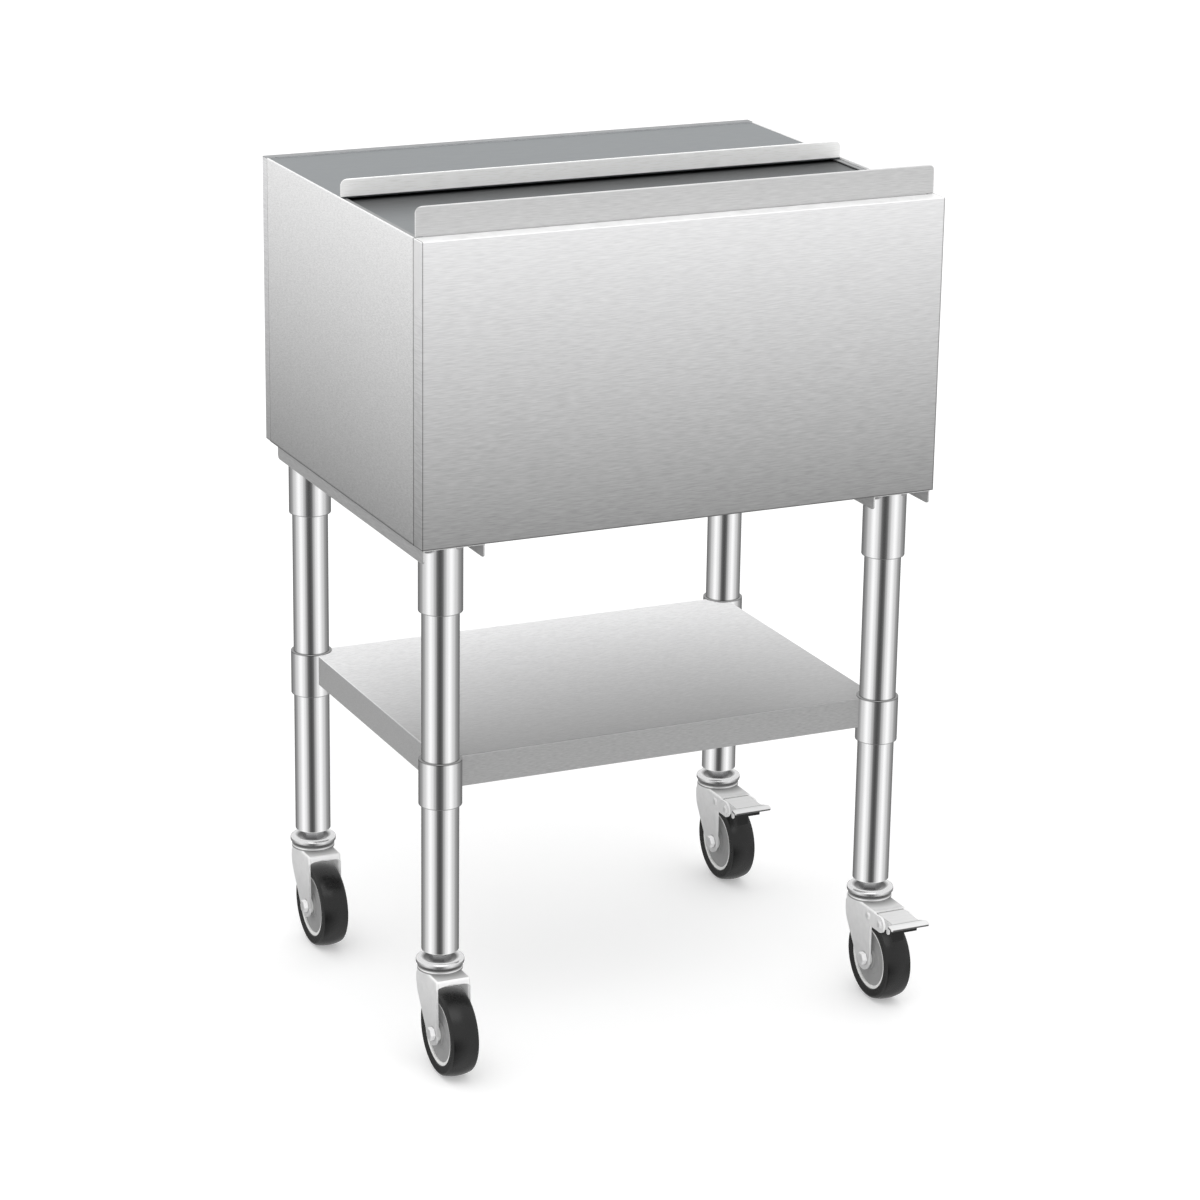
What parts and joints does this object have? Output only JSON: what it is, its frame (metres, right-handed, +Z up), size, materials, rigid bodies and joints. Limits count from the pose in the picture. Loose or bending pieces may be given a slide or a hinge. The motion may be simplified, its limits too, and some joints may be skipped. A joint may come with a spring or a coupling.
{
  "type": "mobile ice bin",
  "caption": "Insulated stainless steel ice bin with two sliding lids, on a tubular stand with an undershelf and swivel casters, some of them braked.",
  "frame": {"origin": "on the floor under the middle of the bin", "axes": "+Z up, -Y to the front, where the handles of both lids face, +X to the right seen from the front"},
  "size_m": [0.612, 0.5325, 0.97],
  "materials": {
    "shell_steel": "satin",
    "base_steel": "satin",
    "lid_steel": "satin",
    "rail_steel": "satin",
    "tub_steel": "satin",
    "foam": "matte",
    "drain_metal": "polished",
    "gasket_rubber": "matte",
    "tube_steel": "polished",
    "shelf_steel": "satin",
    "zinc": "satin",
    "nickel": "polished",
    "insert_plastic": "matte",
    "wheel_white": "satin",
    "hub_grey": "satin",
    "tread": "satin",
    "brake_black": "matte"
  },
  "bodies": {
    "bin": {"back_panel": "shell_steel", "base_panel": "base_steel", "caster_stems": "zinc", "drain_body": "drain_metal", "drain_gasket": "gasket_rubber", "drain_nut": "drain_metal", "drain_strainer": "tub_steel", "foam_insulation": "foam", "front_left_leg": "tube_steel", "front_panel": "shell_steel", "front_right_leg": "tube_steel", "ice_tub": "tub_steel", "left_channel": "base_steel", "left_lid_rail": "rail_steel", "left_side_panel": "shell_steel", "leg_inserts": "insert_plastic", "leg_sockets": "tube_steel", "race_caps": "nickel", "rear_left_leg": "tube_steel", "rear_right_leg": "tube_steel", "right_channel": "base_steel", "right_lid_rail": "rail_steel", "right_side_panel": "shell_steel", "set_screws": "zinc", "shelf_collars": "tube_steel", "undershelf": "shelf_steel"},
    "front_lid": {"front_lid": "lid_steel"},
    "rear_lid": {"rear_lid": "lid_steel"},
    "front_left_swivel": {"front_left_fork": "nickel", "front_left_axle_bolt": "zinc", "front_left_axle_sleeve": "zinc"},
    "front_left_wheel": {"front_left_wheel_core": "wheel_white", "front_left_hub_covers": "hub_grey", "front_left_tyre": "tread"},
    "rear_left_swivel": {"rear_left_fork": "nickel", "rear_left_axle_bolt": "zinc", "rear_left_axle_sleeve": "zinc"},
    "rear_left_wheel": {"rear_left_wheel_core": "wheel_white", "rear_left_hub_covers": "hub_grey", "rear_left_tyre": "tread"},
    "front_right_swivel": {"front_right_fork": "nickel", "front_right_axle_bolt": "zinc", "front_right_axle_sleeve": "zinc", "front_right_brake_pins": "zinc"},
    "front_right_wheel": {"front_right_wheel_core": "wheel_white", "front_right_hub_covers": "hub_grey", "front_right_tyre": "tread"},
    "front_right_pedal": {"front_right_brake_pedal": "nickel", "front_right_brake_pad": "brake_black"},
    "rear_right_swivel": {"rear_right_fork": "nickel", "rear_right_axle_bolt": "zinc", "rear_right_axle_sleeve": "zinc", "rear_right_brake_pins": "zinc"},
    "rear_right_wheel": {"rear_right_wheel_core": "wheel_white", "rear_right_hub_covers": "hub_grey", "rear_right_tyre": "tread"},
    "rear_right_pedal": {"rear_right_brake_pedal": "nickel", "rear_right_brake_pad": "brake_black"}
  },
  "joints": [
    {"name": "front_lid_slide", "type": "slide", "parent": "bin", "child": "front_lid", "axis": [0, 1, 0], "range_m": [0, 0.205]},
    {"name": "rear_lid_slide", "type": "slide", "parent": "bin", "child": "rear_lid", "axis": [0, 1, 0], "range_m": [-0.205, 0]},
    {"name": "front_left_swivel_turn", "type": "hinge", "parent": "bin", "child": "front_left_swivel", "pos_m": [-0.268, -0.197, 0.117], "axis": [0, 0, 1], "continuous": true},
    {"name": "front_left_wheel_roll", "type": "hinge", "parent": "front_left_swivel", "child": "front_left_wheel", "pos_m": [-0.268, -0.225, 0.05], "axis": [1, 0, 0], "continuous": true},
    {"name": "rear_left_swivel_turn", "type": "hinge", "parent": "bin", "child": "rear_left_swivel", "pos_m": [-0.268, 0.197, 0.117], "axis": [0, 0, 1], "continuous": true},
    {"name": "rear_left_wheel_roll", "type": "hinge", "parent": "rear_left_swivel", "child": "rear_left_wheel", "pos_m": [-0.268, 0.169, 0.05], "axis": [1, 0, 0], "continuous": true},
    {"name": "front_right_swivel_turn", "type": "hinge", "parent": "bin", "child": "front_right_swivel", "pos_m": [0.268, -0.197, 0.117], "axis": [0, 0, 1], "continuous": true},
    {"name": "front_right_wheel_roll", "type": "hinge", "parent": "front_right_swivel", "child": "front_right_wheel", "pos_m": [0.268, -0.225, 0.05], "axis": [1, 0, 0], "continuous": true},
    {"name": "front_right_pedal_tip", "type": "hinge", "parent": "front_right_swivel", "child": "front_right_pedal", "pos_m": [0.268, -0.258, 0.104], "axis": [1, 0, 0], "range_deg": [0, 9]},
    {"name": "rear_right_swivel_turn", "type": "hinge", "parent": "bin", "child": "rear_right_swivel", "pos_m": [0.268, 0.197, 0.117], "axis": [0, 0, 1], "continuous": true},
    {"name": "rear_right_wheel_roll", "type": "hinge", "parent": "rear_right_swivel", "child": "rear_right_wheel", "pos_m": [0.268, 0.169, 0.05], "axis": [1, 0, 0], "continuous": true},
    {"name": "rear_right_pedal_tip", "type": "hinge", "parent": "rear_right_swivel", "child": "rear_right_pedal", "pos_m": [0.268, 0.136, 0.104], "axis": [1, 0, 0], "range_deg": [0, 9]}
  ]
}
